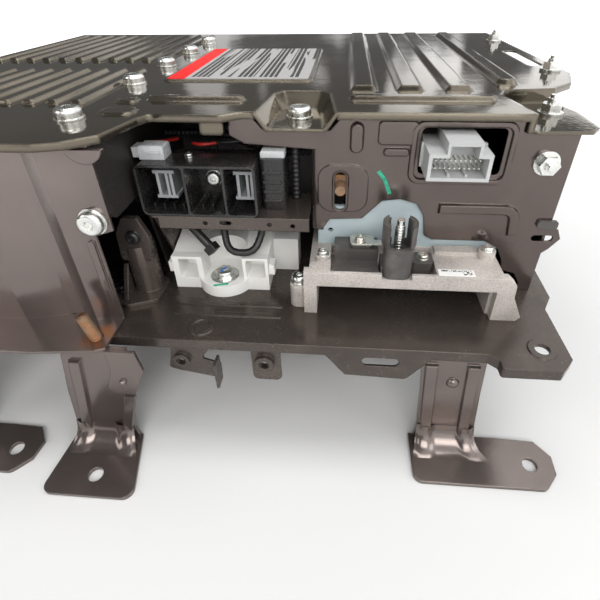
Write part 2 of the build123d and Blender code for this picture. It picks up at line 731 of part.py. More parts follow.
plug_front = -124.0
with BuildPart() as signal_connector:
    with BuildSketch(Plane.XZ.offset(-plug_front)) as shroud:
        Polygon((125.5, 174), (158.5, 174), (158.5, 189), (152.5, 189), (152.5, 195.5), (134.5, 195.5),
                (134.5, 189), (125.5, 189), align=None)
    extrude(amount=-34)
    with BuildSketch(Plane.XZ.offset(-plug_front)) as mouth:
        Polygon((127.5, 176), (156.5, 176), (156.5, 187), (150.8, 187), (150.8, 193.4), (136.2, 193.4),
                (136.2, 187), (127.5, 187), align=None)
    extrude(amount=-12, mode=Mode.SUBTRACT)
    with BuildSketch(Plane.XZ.offset(-panel_y - 3)):
        with Locations((142, 182)):
            Rectangle(36, 14)
    extrude(amount=3)
    for key_x in (137.4, 146.6):
        with BuildSketch(Plane.XY.offset(176)):
            with Locations((key_x, plug_front + 7)):
                Rectangle(1.4, 10)
        extrude(amount=1.4)
save(signal_connector, "signal_connector")

with BuildPart() as connector_pins:
    for row_z in (179.5, 184):
        with BuildSketch(Plane.XZ.offset(-plug_front - 12)):
            with GridLocations(2.6, 0, 10, 1):
                with Locations((142, row_z)):
                    Rectangle(0.8, 0.8)
        extrude(amount=7)
save(connector_pins, "connector_pins")

with BuildPart() as panel_nut:
    add(flange_nut(193.5, 178.5, -panel_y, Plane.XZ, 3, 1.5))
save(panel_nut, "panel_nut")

with BuildPart() as slot_screw:
    with BuildSketch(Plane.XZ.offset(104)):
        with Locations((79.5, 162)):
            Circle(3)
    extrude(amount=10)
    with BuildSketch(Plane.XZ.offset(100)):
        with Locations((79.5, 162)):
            RegularPolygon(7, 6)
    extrude(amount=4.4)
save(slot_screw, "slot_screw")

with BuildPart() as wall_bolt:
    add(dome_bolt(-51.5, 159.5, 151.6, bolt_head, 5.5, Plane.XZ))
save(wall_bolt, "wall_bolt")

with BuildPart() as flange_stud:
    with BuildSketch(Plane.XY.offset(base_top)):
        with Locations((-61.6, -169.2)):
            Circle(3.2)
    extrude(amount=20)
    for ring in range(10):
        with BuildSketch(Plane.XY.offset(flange_top + 1 + ring * 1.7)):
            with Locations((-61.6, -169.2)):
                Circle(3.55)
        extrude(amount=0.85)
save(flange_stud, "flange_stud")

with BuildPart() as grommet:
    with BuildSketch(Plane.XZ.offset(106)) as bung:
        with Locations((205, 139.5)):
            RectangleRounded(12, 5.5, 2)
    extrude(amount=2)
save(grommet, "grommet")

# ---- pressed legs with beads and flat feet


def pressed_leg(front_face, left_top, right_top, left_low, right_low, top, pad, hole, covered=0):
    """A flanged strut: its web's outer face is front_face, its pad lies on the floor."""
    side = -1 if front_face < 0 else 1
    outer = Plane(origin=(0, front_face, 0), x_dir=(1, 0, 0) if side < 0 else (-1, 0, 0), z_dir=(0, side, 0))
    lean = left_low - left_top
    with BuildPart() as strut:
        with BuildSketch(outer) as web:
            Polygon(*[(-side * px, pz) for px, pz in (
                (left_top, top), (right_top, top), (right_top + (right_low - right_top) * 0.4, 50),
                (right_low, 12), (right_low + 2, 0), (left_low - 1, 0), (left_low, 14),
                (left_top + lean * 0.6, 50))], align=None)
            fillet(web.vertices().filter_by_position(Axis.Z, 5, 60), 4)
        extrude(amount=-leg_sheet)
        for bead_x, bead_top in ((left_top + 6.5, top - 10), (right_top - 6.5, top - 10 - covered)):
            with BuildSketch(outer):
                Polygon(*[(-side * px, pz) for px, pz in (
                    (bead_x - 4, bead_top), (bead_x + 4, bead_top),
                    (bead_x + 4 + lean, 6), (bead_x - 4 + lean, 6))], align=None)
            extrude(amount=2.2, taper=20)
        with BuildSketch(Plane.XY) as foot:
            Polygon(*pad, align=None)
            fillet(foot.vertices().filter_by(lambda v: abs(v.Y - pad[1][1]) < 1), 6)
            with Locations(hole):
                Circle(4.6, mode=Mode.SUBTRACT)
        extrude(amount=leg_sheet)
    return strut.part


right_pad = [(131, -161), (131, -194), (212, -194), (221, -184), (222, -172), (214, -162), (190, -161)]
with BuildPart() as front_right_leg:
    add(pressed_leg(-163.5, 130, 167.3, 134.7, 172.5, base_under, right_pad, (206.3, -178.5)))
    with Locations((151, -162.5, 60)):
        Sphere(4)
save(front_right_leg, "front_right_leg")

left_pad = [(-98, -174), (-101, -217), (-41, -217), (-52, -174)]
with BuildPart() as front_left_leg:
    add(pressed_leg(-176, -82, -42, -95, -55, base_top, left_pad, (-71, -204), 30))
save(front_left_leg, "front_left_leg")

far_shift = -340
far_pad = [(px + far_shift, py - 12) for px, py in right_pad]
with BuildPart() as far_left_leg:
    add(pressed_leg(-175.5, 130 + far_shift, 167.3 + far_shift, 134.7 + far_shift, 172.5 + far_shift, base_top,
                    far_pad, (206.3 + far_shift, -190.5)))
save(far_left_leg, "far_left_leg")

for leg_name, leg_shift in (("rear_right_leg", 0), ("rear_left_leg", far_shift)):
    rear_pad = [(px + leg_shift, -py + 23) for px, py in right_pad]
    with BuildPart() as rear_leg:
        add(pressed_leg(189, 130 + leg_shift, 167.3 + leg_shift, 134.7 + leg_shift, 172.5 + leg_shift, base_under,
                        rear_pad, (206.3 + leg_shift, 201.5)))
    save(rear_leg, leg_name)

with BuildPart() as leg_tab:
    with BuildSketch(Plane.XZ.offset(176)) as tab_outline:
        Polygon((-54, base_top), (-36, base_top), (-34, 72), (-41, 58), (-44, 50), (-57, 50), (-60, 56), (-54, 72),
                align=None)
        fillet(tab_outline.vertices().filter_by_position(Axis.Y, 40, 80), 2)
    extrude(amount=2.0)
    with Locations((-49, -178.4, 62)):
        Sphere(2.2)
save(leg_tab, "leg_tab")

hang_y = 162.4
with BuildPart() as hook_bracket:
    with BuildSketch(Plane.XZ.offset(hang_y - 0.4)) as hook_outline:
        Polygon((-19, base_under), (-25, 61), (-18, 58.5), (8, 53), (8.5, 66), (-3, 70), (7, base_under), align=None)
        fillet(hook_outline.vertices().filter_by_position(Axis.Y, 40, 80), 2)
        with Locations((-15.5, 69)):
            Circle(3, mode=Mode.SUBTRACT)
    extrude(amount=wall_sheet)
    with BuildSketch(Plane.YZ.offset(7)):
        with Locations((-168, 64)):
            Rectangle(9, 20)
    extrude(amount=wall_sheet)
    with BuildSketch(Plane.XZ.offset(hang_y + 1.2)):
        with Locations((-15.5, 69)):
            Circle(5.4)
            Circle(3, mode=Mode.SUBTRACT)
    extrude(amount=2.4)
save(hook_bracket, "hook_bracket")

with BuildPart() as weld_nut_tab:
    with BuildSketch(Plane.XZ.offset(hang_y - 0.4)) as weld_outline:
        Polygon((28.5, base_under), (28.5, 54), (46.5, 54), (46.5, base_under), align=None)
        fillet(weld_outline.vertices().group_by(Axis.Y)[0], 4)
        with Locations((36.5, 70)):
            Circle(3.2, mode=Mode.SUBTRACT)
    extrude(amount=wall_sheet)
    with BuildSketch(Plane.XZ.offset(hang_y + 1.2)):
        with Locations((36.5, 70)):
            Circle(6)
            Circle(3.2, mode=Mode.SUBTRACT)
    extrude(amount=3)
save(weld_nut_tab, "weld_nut_tab")

# ---- inside the shell: cell stack, end plates, busbars and control unit

cell_count = 12
cell_pitch = 26.0
stack_left = -200.0
stack_front = -20.0
cell_depth = 200.0
cell_height = 88.0
with BuildPart() as cells:
    for index in range(cell_count):
        with BuildSketch(Plane.XY.offset(base_top)):
            with Locations((stack_left + (index + 0.5) * cell_pitch, stack_front + cell_depth / 2)):
                RectangleRounded(cell_pitch - 1, cell_depth, 2)
        extrude(amount=cell_height)
save(cells, "cells")

stack_right = stack_left + cell_count * cell_pitch
with BuildPart() as end_plates:
    for plate_x in (stack_left - 3.5, stack_right + 3.5):
        with BuildSketch(Plane.XY.offset(base_top)):
            with Locations((plate_x, stack_front + cell_depth / 2)):
                Rectangle(6, cell_depth)
        extrude(amount=cell_height + 4)
save(end_plates, "end_plates")

with BuildPart() as cell_busbars:
    for index in range(cell_count // 2):
        bar_x = stack_left + (2 * index + 1) * cell_pitch
        for bar_y in (stack_front + 14, stack_front + cell_depth - 14):
            with BuildSketch(Plane.XY.offset(base_top + cell_height)):
                with Locations((bar_x, bar_y)):
                    SlotOverall(cell_pitch * 1.6, 14)
            extrude(amount=2)
save(cell_busbars, "cell_busbars")

with BuildPart() as control_unit:
    with BuildSketch(Plane.XY.offset(base_top)) as unit_outline:
        with Locations((162, 90)):
            RectangleRounded(60, 150, 4)
    extrude(amount=60)
    with BuildSketch(Plane.XY.offset(base_top + 60)):
        with GridLocations(0, 16, 1, 8):
            with Locations((162, 90)):
                Rectangle(50, 4)
    extrude(amount=6)
save(control_unit, "control_unit")

with BuildPart() as converter_core:
    with BuildSketch(Plane.XY.offset(bridge_top)):
        with Locations((124, -68)):
            RectangleRounded(110, 52, 3)
    extrude(amount=30)
    with BuildSketch(Plane.XZ.offset(39)):
        with Locations((119.5, 98.5)):
            Rectangle(104, 21)
    extrude(amount=-2)
save(converter_core, "converter_core")
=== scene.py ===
import math

import bmesh
import bpy
from mathutils import Matrix, Vector


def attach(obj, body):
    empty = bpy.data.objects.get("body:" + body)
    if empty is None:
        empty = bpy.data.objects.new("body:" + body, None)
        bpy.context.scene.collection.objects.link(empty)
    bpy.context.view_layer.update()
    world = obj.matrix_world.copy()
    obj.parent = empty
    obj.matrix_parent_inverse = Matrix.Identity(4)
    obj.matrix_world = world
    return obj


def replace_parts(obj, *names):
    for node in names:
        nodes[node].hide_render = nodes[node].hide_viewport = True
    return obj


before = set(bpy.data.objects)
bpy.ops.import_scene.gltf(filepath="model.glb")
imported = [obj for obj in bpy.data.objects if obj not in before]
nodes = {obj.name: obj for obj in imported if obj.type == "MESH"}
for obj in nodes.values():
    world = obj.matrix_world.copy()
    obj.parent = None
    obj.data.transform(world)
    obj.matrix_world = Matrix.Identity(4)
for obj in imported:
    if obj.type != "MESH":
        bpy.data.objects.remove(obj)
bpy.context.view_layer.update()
mm = 0.001
inMm = (1000, 1000, 1000)
print("frame loaded:", len(nodes), "nodes")


# camera: it stands close in front of the connector side and looks down on it

cameraView = {
    "spot": (81.0, -338.5, 270.8),   # mm, in the part's frame
    "turn": 4.9504, "tilt": 33.5784, "roll": -0.9521,  # degrees
    "lens": 25.379, "sensor": 36, "shift": (-0.01742, -0.08528), "near": 0.01,
}


def makeCamera(view):
    camera = bpy.data.cameras.new("camera")
    camera.lens = view["lens"]
    camera.sensor_width = view["sensor"]
    camera.shift_x, camera.shift_y = view["shift"]
    camera.clip_start = view["near"]
    holder = bpy.data.objects.new("camera", camera)
    bpy.context.scene.collection.objects.link(holder)
    turned = (Matrix.Rotation(math.radians(view["turn"]), 4, "Z")
              @ Matrix.Rotation(math.radians(90 - view["tilt"]), 4, "X")
              @ Matrix.Rotation(math.radians(view["roll"]), 4, "Z"))
    holder.matrix_world = Matrix.Translation(Vector(view["spot"]) * mm) @ turned
    bpy.context.scene.camera = holder


makeCamera(cameraView)
bpy.context.scene.view_settings.view_transform = "Standard"
print("camera placed")


# materials

def newMaterial(name):
    material = bpy.data.materials.new(name)
    material.use_nodes = True
    tree = material.node_tree
    shader = next(n for n in tree.nodes if n.type == "BSDF_PRINCIPLED")
    return material, tree, shader


def objectPoints(tree, scale=(1, 1, 1), shift=(0, 0, 0)):
    source = tree.nodes.new("ShaderNodeTexCoord")
    mapping = tree.nodes.new("ShaderNodeMapping")
    mapping.inputs["Scale"].default_value = scale
    mapping.inputs["Location"].default_value = shift
    tree.links.new(source.outputs["Object"], mapping.inputs["Vector"])
    return mapping.outputs["Vector"]


def noise(tree, points, scale, detail=3.0, roughness=0.55):
    made = tree.nodes.new("ShaderNodeTexNoise")
    made.inputs["Scale"].default_value = scale
    made.inputs["Detail"].default_value = detail
    made.inputs["Roughness"].default_value = roughness
    tree.links.new(points, made.inputs["Vector"])
    return made.outputs["Fac"]


def grey(v):
    return (v, v, v)


def ramp(tree, value, stops):
    made = tree.nodes.new("ShaderNodeValToRGB")
    line = made.color_ramp
    while len(line.elements) < len(stops):
        line.elements.new(0.5)
    for element, (place, tone) in zip(line.elements, stops):
        element.position = place
        element.color = (*(grey(tone) if isinstance(tone, (int, float)) else tone), 1)
    tree.links.new(value, made.inputs["Fac"])
    return made.outputs["Color"]


def blend(tree, value, span, first, last):
    # the first tone up to the start of the span, the last one from its end on
    return ramp(tree, value, list(zip(span, (first, last))))


def mixColour(tree, amount, first, second):
    made = tree.nodes.new("ShaderNodeMix")
    made.data_type = "RGBA"
    for value, socket in ((amount, 0), (first, 6), (second, 7)):
        if isinstance(value, (tuple, list)):
            made.inputs[socket].default_value = (*value, 1)
        elif isinstance(value, (int, float)):
            made.inputs[socket].default_value = value
        else:
            tree.links.new(value, made.inputs[socket])
    return made.outputs[2]


def mathNode(tree, kind, first, second=None):
    made = tree.nodes.new("ShaderNodeMath")
    made.operation = kind
    for value, socket in ((first, 0), (second, 1)):
        if value is None:
            continue
        if isinstance(value, (int, float)):
            made.inputs[socket].default_value = value
        else:
            tree.links.new(value, made.inputs[socket])
    return made.outputs[0]


def weighted(tree, first, firstShare, second, secondShare):
    return mathNode(tree, "ADD", mathNode(tree, "MULTIPLY", first, firstShare),
                    mathNode(tree, "MULTIPLY", second, secondShare))


def above(tree, value, level):
    return mathNode(tree, "GREATER_THAN", value, level)


def below(tree, value, level):
    return mathNode(tree, "LESS_THAN", value, level)


def allOf(tree, *parts):
    made = parts[0]
    for part in parts[1:]:
        made = mathNode(tree, "MULTIPLY", made, part)
    return made


def surfaceNormal(tree, shader, height, strength, depth, softEdge):
    bump = tree.nodes.new("ShaderNodeBump")
    bump.inputs["Strength"].default_value = strength
    bump.inputs["Distance"].default_value = depth
    tree.links.new(height, bump.inputs["Height"])
    if softEdge:
        edge = tree.nodes.new("ShaderNodeBevel")
        edge.samples = 4
        edge.inputs["Radius"].default_value = softEdge
        tree.links.new(edge.outputs["Normal"], bump.inputs["Normal"])
    tree.links.new(bump.outputs["Normal"], shader.inputs["Normal"])


# in the skins below, a noise is (scale, detail, roughness)
# and a span is the levels where a tone starts and where it is full

paintSkin = {
    "cloud": (14, 4), "cloudSpan": (0.3, 0.7), "darker": 0.82, "lighter": 1.14,
    "patch": (34, 6, 0.7), "patchSpan": (0.52, 0.78), "speck": (900, 1), "speckSpan": (0.73, 0.79),
    "grain": (420, 2), "grainHeight": 0.035, "glossShares": (0.6, 0.4),
    "wave": (22, 2), "strength": 0.5, "depth": 0.0016,
    "ragged": (130, 4, 0.7), "raggedReach": 1.2, "rustSpan": (0.42, 0.72), "rustMost": 0.95,
    "rust": (0.26, 0.12, 0.055),
}


def coatedSteel(name, colour, roughness, metallic=0.0, dust=0.3, softEdge=0.0009,
                dustColour=(0.34, 0.31, 0.27), specks=0.5, wobble=0.35, rustSpots=()):
    # painted sheet with cloudy gloss, a slightly wavy skin and settled dust
    skin = paintSkin
    material, tree, shader = newMaterial(name)
    points = objectPoints(tree)
    cloud = noise(tree, points, *skin["cloud"])
    fine = noise(tree, points, *skin["grain"])
    darker = tuple(c * skin["darker"] for c in colour)
    lighter = tuple(min(1, c * skin["lighter"]) for c in colour)
    base = blend(tree, cloud, skin["cloudSpan"], darker, lighter)
    dusty = blend(tree, noise(tree, points, *skin["patch"]), skin["patchSpan"], 0, dust)
    base = mixColour(tree, dusty, base, dustColour)
    dots = blend(tree, noise(tree, points, *skin["speck"]), skin["speckSpan"], 0, specks)
    base = mixColour(tree, dots, base, dustColour)
    for spot, reach in rustSpots:
        away = tree.nodes.new("ShaderNodeVectorMath")
        away.operation = "DISTANCE"
        away.inputs[1].default_value = [v * mm for v in spot]
        tree.links.new(points, away.inputs[0])
        torn = noise(tree, points, *skin["ragged"])
        uneven = mathNode(tree, "MULTIPLY", torn, reach * mm * skin["raggedReach"])
        ragged = mathNode(tree, "ADD", away.outputs["Value"], uneven)
        near = mathNode(tree, "DIVIDE", ragged, reach * mm * 2)
        base = mixColour(tree, blend(tree, near, skin["rustSpan"], skin["rustMost"], 0), base, skin["rust"])
    tree.links.new(base, shader.inputs["Base Color"])
    gloss = weighted(tree, cloud, skin["glossShares"][0], fine, skin["glossShares"][1])
    tree.links.new(blend(tree, gloss, skin["cloudSpan"], *roughness), shader.inputs["Roughness"])
    shader.inputs["Metallic"].default_value = metallic
    height = weighted(tree, noise(tree, points, *skin["wave"]), wobble, fine, skin["grainHeight"])
    surfaceNormal(tree, shader, height, skin["strength"], skin["depth"], softEdge)
    return material


metalSkin = {
    "cloud": (70, 5), "cloudSpan": (0.3, 0.65), "darker": 0.7, "grainDetail": 3, "grainSpan": (0.3, 0.7),
    "stain": (190, 5, 0.7), "stainSpan": (0.45, 0.7), "depth": 0.0003, "softEdge": 0.0004,
}


def bareMetal(name, colour, roughness, metallic=1.0, bump=0.15, scale=260, stain=None):
    # plated or rusty metal with a fine grain
    skin = metalSkin
    material, tree, shader = newMaterial(name)
    points = objectPoints(tree)
    fine = noise(tree, points, scale, skin["grainDetail"])
    darker = tuple(c * skin["darker"] for c in colour)
    base = blend(tree, noise(tree, points, *skin["cloud"]), skin["cloudSpan"], darker, colour)
    if stain:
        spots = blend(tree, noise(tree, points, *skin["stain"]), skin["stainSpan"], 0, 1)
        base = mixColour(tree, spots, base, stain)
    tree.links.new(base, shader.inputs["Base Color"])
    tree.links.new(blend(tree, fine, skin["grainSpan"], *roughness), shader.inputs["Roughness"])
    shader.inputs["Metallic"].default_value = metallic
    surfaceNormal(tree, shader, fine, bump, skin["depth"], skin["softEdge"])
    return material


castSurface = {
    "grain": (700, 4, 0.6), "cloud": (45, 4), "shares": (0.55, 0.45), "span": (0.36, 0.62), "darker": 0.62,
    "roughSpan": (0.3, 0.7), "roughness": (0.45, 0.68), "metallic": 0.35,
    "bump": 0.55, "depth": 0.0006, "softEdge": 0.0009,
}


def castMetal(name, colour):
    # sand cast skin: coarse grain, dull grey with brighter high spots
    skin = castSurface
    material, tree, shader = newMaterial(name)
    points = objectPoints(tree)
    grain = noise(tree, points, *skin["grain"])
    cloud = noise(tree, points, *skin["cloud"])
    mottle = weighted(tree, grain, skin["shares"][0], cloud, skin["shares"][1])
    base = blend(tree, mottle, skin["span"], tuple(c * skin["darker"] for c in colour), colour)
    tree.links.new(base, shader.inputs["Base Color"])
    tree.links.new(blend(tree, grain, skin["roughSpan"], *skin["roughness"]), shader.inputs["Roughness"])
    shader.inputs["Metallic"].default_value = skin["metallic"]
    surfaceNormal(tree, shader, grain, skin["bump"], skin["depth"], skin["softEdge"])
    return material


plasticSkin = {
    "cloud": (30, 3), "grain": (520, 2), "span": (0.3, 0.7), "bump": 0.1, "depth": 0.0003,
    "patch": (60, 6, 0.7), "patchSpan": (0.5, 0.8), "dustColour": (0.3, 0.27, 0.24),
}


def mouldedPlastic(name, colour, roughness=(0.38, 0.55), softEdge=0.0005, variation=0.12, dust=0.0):
    skin = plasticSkin
    material, tree, shader = newMaterial(name)
    points = objectPoints(tree)
    fine = noise(tree, points, *skin["grain"])
    darker = tuple(c * (1 - variation) for c in colour)
    lighter = tuple(min(1, c * (1 + variation)) for c in colour)
    base = blend(tree, noise(tree, points, *skin["cloud"]), skin["span"], darker, lighter)
    if dust:
        patch = blend(tree, noise(tree, points, *skin["patch"]), skin["patchSpan"], 0, dust)
        base = mixColour(tree, patch, base, skin["dustColour"])
    tree.links.new(base, shader.inputs["Base Color"])
    tree.links.new(blend(tree, fine, skin["span"], *roughness), shader.inputs["Roughness"])
    surfaceNormal(tree, shader, fine, skin["bump"], skin["depth"], softEdge)
    return material


panelPaint = coatedSteel("panelPaint", (0.118, 0.096, 0.089), (0.12, 0.24), metallic=0.8, dust=0.05,
                         specks=0.0)
shellPaint = coatedSteel("shellPaint", (0.180, 0.149, 0.140), (0.12, 0.24), metallic=0.76, dust=0.06,
                         specks=0.0, rustSpots=[((-61.6, -169.2, 88), 13), ((-58, -163, 88), 8)])
# base tray: the walls' brown paint made darker as painted shade, with real dust patches and specks on it
shadedDustyTrayPaint = coatedSteel("shadedDustyTrayPaint", (0.080, 0.066, 0.058), (0.16, 0.32), metallic=0.6, dust=0.20, specks=1.0,
                        dustColour=(0.30, 0.25, 0.20))
legPaint = coatedSteel("legPaint", (0.178, 0.149, 0.138), (0.13, 0.25), metallic=0.75, dust=0.08, specks=0.25)
coverPaint = coatedSteel("coverPaint", (0.150, 0.131, 0.102), (0.04, 0.11), metallic=0.85, dust=0.02,
                         softEdge=0.0026, specks=0.0, wobble=0.2)
darkPaint = coatedSteel("darkPaint", (0.105, 0.086, 0.076), (0.18, 0.34), metallic=0.6, dust=0.1, specks=0.1)
# recess walls and end plates: the brown paint made near-black and matte, which is painted shade
paintedRecessShade = coatedSteel("paintedRecessShade", (0.020, 0.017, 0.015), (0.45, 0.6), dust=0.1)
zincPlate = bareMetal("zincPlate", (0.78, 0.79, 0.76), (0.20, 0.38))
tinPlate = bareMetal("tinPlate", (0.72, 0.70, 0.64), (0.25, 0.4))
rustySteel = bareMetal("rustySteel", (0.30, 0.20, 0.13), (0.5, 0.8), 0.5, 0.5, 400, (0.36, 0.14, 0.04))
copperPlate = bareMetal("copperPlate", (0.72, 0.40, 0.26), (0.25, 0.4))
castSkin = castMetal("castSkin", (0.64, 0.59, 0.55))
paleBoard = mouldedPlastic("paleBoard", (0.40, 0.475, 0.50), (0.45, 0.6))
paleNylon = mouldedPlastic("paleNylon", (0.82, 0.815, 0.79), (0.40, 0.55), variation=0.06, dust=0.12)
signalNylon = mouldedPlastic("signalNylon", (0.46, 0.47, 0.47), (0.36, 0.5), variation=0.06)
greyNylon = mouldedPlastic("greyNylon", (0.30, 0.31, 0.32), (0.3, 0.45))
silverNylon = mouldedPlastic("silverNylon", (0.52, 0.53, 0.54), (0.22, 0.35))
blackNylon = mouldedPlastic("blackNylon", (0.014, 0.013, 0.013), (0.18, 0.32), softEdge=0.0008, dust=0.10)
collarNylon = mouldedPlastic("collarNylon", (0.062, 0.056, 0.053), (0.34, 0.5), dust=0.3)
darkRubber = mouldedPlastic("darkRubber", (0.014, 0.013, 0.013), (0.35, 0.55), softEdge=0)
cellCase = mouldedPlastic("cellCase", (0.10, 0.11, 0.13))


def flatPoints(tree, shift):
    # across and along a flat field, in mm from its lower left corner
    split = tree.nodes.new("ShaderNodeSeparateXYZ")
    tree.links.new(objectPoints(tree, inMm, shift), split.inputs["Vector"])
    return split.outputs["X"], split.outputs["Y"]


paperSkin = {"grain": (300, 2), "bump": 0.05, "depth": 0.0003}


def paperFinish(tree, shader, colour, roughness):
    tree.links.new(colour, shader.inputs["Base Color"])
    shader.inputs["Roughness"].default_value = roughness
    surfaceNormal(tree, shader, noise(tree, objectPoints(tree), *paperSkin["grain"]),
                  paperSkin["bump"], paperSkin["depth"], 0)


labelPrint = {
    "shift": (45, 33, 0),  # mm that bring its lower left corner to the origin
    "strip": 13, "margin": 5, "rows": 0.27, "rowGap": 0.30, "columns": 0.062, "columnFill": 0.8,
    "ragged": (1.0, 1), "raggedStretch": (130, 9, 1), "raggedFrom": 0.42,
    "inkShare": 0.92, "roughness": 0.45, "shine": 0.2,
    "paper": (0.38, 0.375, 0.37), "ink": (0.022, 0.020, 0.022), "red": (0.80, 0.012, 0.010),
}


def makeLabel(name, field):
    # a pale printed field: a red strip down one side and rows of plain grey bars
    material, tree, shader = newMaterial(name)
    across, along = flatPoints(tree, field["shift"])
    row = mathNode(tree, "FRACT", mathNode(tree, "MULTIPLY", across, field["rows"]))
    column = mathNode(tree, "FRACT", mathNode(tree, "MULTIPLY", across, field["columns"]))
    ragged = noise(tree, objectPoints(tree, field["raggedStretch"]), *field["ragged"])
    ink = allOf(tree, above(tree, row, field["rowGap"]), below(tree, column, field["columnFill"]),
                above(tree, along, field["margin"]), above(tree, ragged, field["raggedFrom"]),
                field["inkShare"])
    faded = mixColour(tree, ink, field["paper"], field["ink"])
    printed = mixColour(tree, below(tree, across, field["strip"]), faded, field["red"])
    shader.inputs["Specular IOR Level"].default_value = field["shine"]
    paperFinish(tree, shader, printed, field["roughness"])
    return material


tagPrint = {
    "shift": (-139, 135.75, 0),  # mm that bring its lower left corner to the origin
    "left": 1.2, "right": 19.6, "bottom": 1, "top": 5.8, "bandFrom": 4.2, "squareFrom": 14.5,
    "dots": (1500, 1), "dotStretch": (1, 0.4, 1), "dotFrom": 0.5, "roughness": 0.5,
    "paper": (0.80, 0.79, 0.77), "ink": (0.06, 0.055, 0.055),
}


def makeSticker(name, tag):
    # a small white tag with a band and a square of plain dark dots
    material, tree, shader = newMaterial(name)
    across, along = flatPoints(tree, tag["shift"])
    dots = above(tree, noise(tree, objectPoints(tree, tag["dotStretch"]), *tag["dots"]), tag["dotFrom"])
    inside = allOf(tree, above(tree, across, tag["left"]), below(tree, across, tag["right"]),
                   below(tree, along, tag["top"]))
    square = allOf(tree, above(tree, across, tag["squareFrom"]), above(tree, along, tag["bottom"]))
    shape = mathNode(tree, "MAXIMUM", above(tree, along, tag["bandFrom"]), square)
    paperFinish(tree, shader, mixColour(tree, allOf(tree, shape, dots, inside), tag["paper"], tag["ink"]),
                tag["roughness"])
    return material


printedLabel = makeLabel("printedLabel", labelPrint)
printedTag = makeSticker("printedTag", tagPrint)

finishes = {
    shellPaint: ["left_wall", "left_end"],
    panelPaint: ["front_panel", "right_end", "rear_wall"],
    # the base tray's darker tone is painted shade; its dust is real
    shadedDustyTrayPaint: ["base_tray", "hook_bracket", "weld_nut_tab"],
    legPaint: ["front_right_leg", "front_left_leg", "far_left_leg", "rear_right_leg", "rear_left_leg",
               "leg_tab"],
    coverPaint: ["top_cover"],
    darkPaint: ["socket_bracket", "side_bracket"],
    # near-black painted shade in the recess
    paintedRecessShade: ["recess_side", "recess_rear", "end_plates"],
    zincPlate: ["cover_bolts", "cover_studs", "bridge_bolt", "converter_screws", "output_stud",
                "socket_screws", "port_bolt", "panel_nut", "wall_bolt"],
    tinPlate: ["busbar_clip", "connector_pins"],
    rustySteel: ["slot_screw", "flange_stud"],
    copperPlate: ["cell_busbars"],
    castSkin: ["cast_bridge", "control_unit"],
    paleBoard: ["insulating_plate"],
    paleNylon: ["two_port_connector"],
    signalNylon: ["signal_connector"],
    greyNylon: ["socket_inserts"],
    silverNylon: ["silver_connector", "grey_plug"],
    blackNylon: ["socket_box", "relay_housing", "bracket_bolts", "converter_core"],
    collarNylon: ["stud_collar", "terminal_block", "grommet"],
    darkRubber: ["cable_loop", "plug_lead", "conduits"],
    cellCase: ["cells"],
    printedLabel: ["cover_label"],
    printedTag: ["converter_sticker"],
}
for material, names in finishes.items():
    for name in names:
        mesh = nodes[name].data
        mesh.materials.clear()
        mesh.materials.append(material)
left = sorted(set(nodes) - {n for names in finishes.values() for n in names})
print("materials given; without one:", left)


# small pieces and marks laid over the part

def newPiece(name, bm, material, smooth=True):
    mesh = bpy.data.meshes.new(name)
    bm.to_mesh(mesh)
    bm.free()
    for face in mesh.polygons:
        face.use_smooth = smooth
    piece = bpy.data.objects.new(name, mesh)
    bpy.context.scene.collection.objects.link(piece)
    mesh.materials.append(material)
    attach(piece, "root")
    return piece


cornerEase = {"share": 0.45, "steps": 7}  # how much of the shorter run each corner takes


def easedRoute(points):
    # a route with each corner rounded as far as its shorter run allows
    spots = [Vector(p) for p in points]
    route = [spots[0]]
    for before, corner, after in zip(spots, spots[1:], spots[2:]):
        reach = cornerEase["share"] * min((corner - before).length, (after - corner).length)
        start = corner + (before - corner).normalized() * reach
        end = corner + (after - corner).normalized() * reach
        for step in range(cornerEase["steps"] + 1):
            t = step / cornerEase["steps"]
            route.append(start * (1 - t) ** 2 + corner * 2 * t * (1 - t) + end * t ** 2)
    route.append(spots[-1])
    return route


def evenRoute(route, gap):
    # the same route walked at an even pace
    walked, carry = [route[0]], 0.0
    for first, second in zip(route, route[1:]):
        run = (second - first).length
        place = gap - carry
        while place < run:
            walked.append(first.lerp(second, place / run))
            place += gap
        carry = run - (place - gap)
    walked.append(route[-1])
    return walked


def sweptTube(bm, route, radii, sides=14):
    # rings along the route, joined loop to loop
    last = None
    for index, spot in enumerate(route):
        ahead = route[min(index + 1, len(route) - 1)] - route[max(index - 1, 0)]
        turn = ahead.to_track_quat("Z", "X").to_matrix().to_4x4()
        ring = bmesh.ops.create_circle(bm, segments=sides, radius=radii[index % len(radii)] * mm,
                                       matrix=Matrix.Translation(spot * mm) @ turn)["verts"]
        edges = [e for e in {e for v in ring for e in v.link_edges} if all(v in ring for v in e.verts)]
        if last is None or index == len(route) - 1:
            bmesh.ops.contextual_create(bm, geom=edges)
        if last is not None:
            bmesh.ops.bridge_loops(bm, edges=last + edges)
        last = edges


leads = {
    "tapedLoop": {
        "node": "cable_loop", "radii": (2.25, 2.4, 2.33), "gap": 1.3,
        "routes": [[(5, -108, 146.3), (5, -108, 132), (9, -118, 119.2), (26, -118, 119.2), (31, -108, 132),
                    (31, -108, 146.3)]]},
    "ribbedConduits": {
        "node": "conduits", "radii": (3.0, 3.0, 2.4, 2.4), "gap": 0.75,
        "routes": [[(-41.7, -70, 190), (-20, -70, 190), (20, -84, 186), (40, -70, 190), (61.6, -70, 190)],
                   [(61.6, -95, 189), (51.6, -95, 189), (51.6, -95, 148.2)],
                   [(-41.7, -60, 178), (0, -60, 178), (30, -76, 172), (61.6, -76, 172)]]},
}
for name, lead in leads.items():
    bm = bmesh.new()
    for route in lead["routes"]:
        sweptTube(bm, evenRoute(easedRoute(route), lead["gap"]), lead["radii"])
    bmesh.ops.recalc_face_normals(bm, faces=bm.faces)
    piece = newPiece(name, bm, darkRubber)
    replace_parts(piece, lead["node"])

